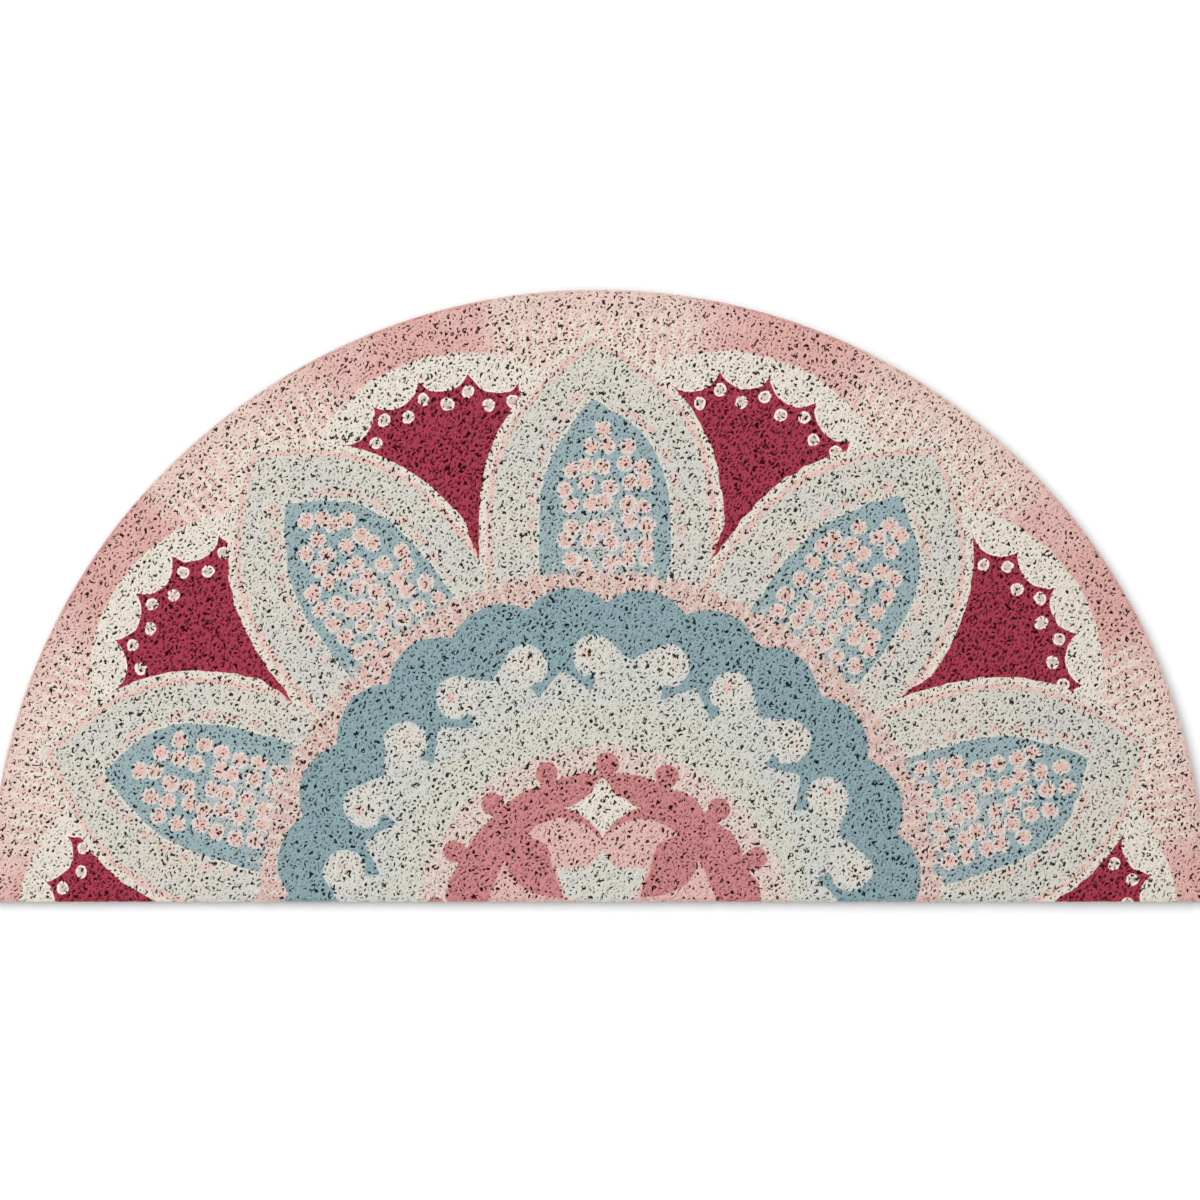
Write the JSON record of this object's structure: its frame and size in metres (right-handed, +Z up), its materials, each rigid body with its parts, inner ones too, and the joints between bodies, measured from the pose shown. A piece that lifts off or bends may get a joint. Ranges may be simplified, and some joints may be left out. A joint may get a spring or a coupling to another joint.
{
  "type": "doormat",
  "caption": "Flat half-moon doormat cut from one slab of printed vinyl loop matting, with a round and a straight edge.",
  "frame": {"origin": "on the floor under the middle of the mat's outer box", "axes": "+X along the straight edge, +Y from the straight edge towards the top of the round edge, +Z up from the floor"},
  "size_m": [0.8, 0.4026, 0.01],
  "materials": {
    "printed_vinyl": "matte curled vinyl strands with a pink, cream, blue and crimson print"
  },
  "bodies": {
    "root": {"mat": "printed_vinyl"}
  },
  "joints": []
}
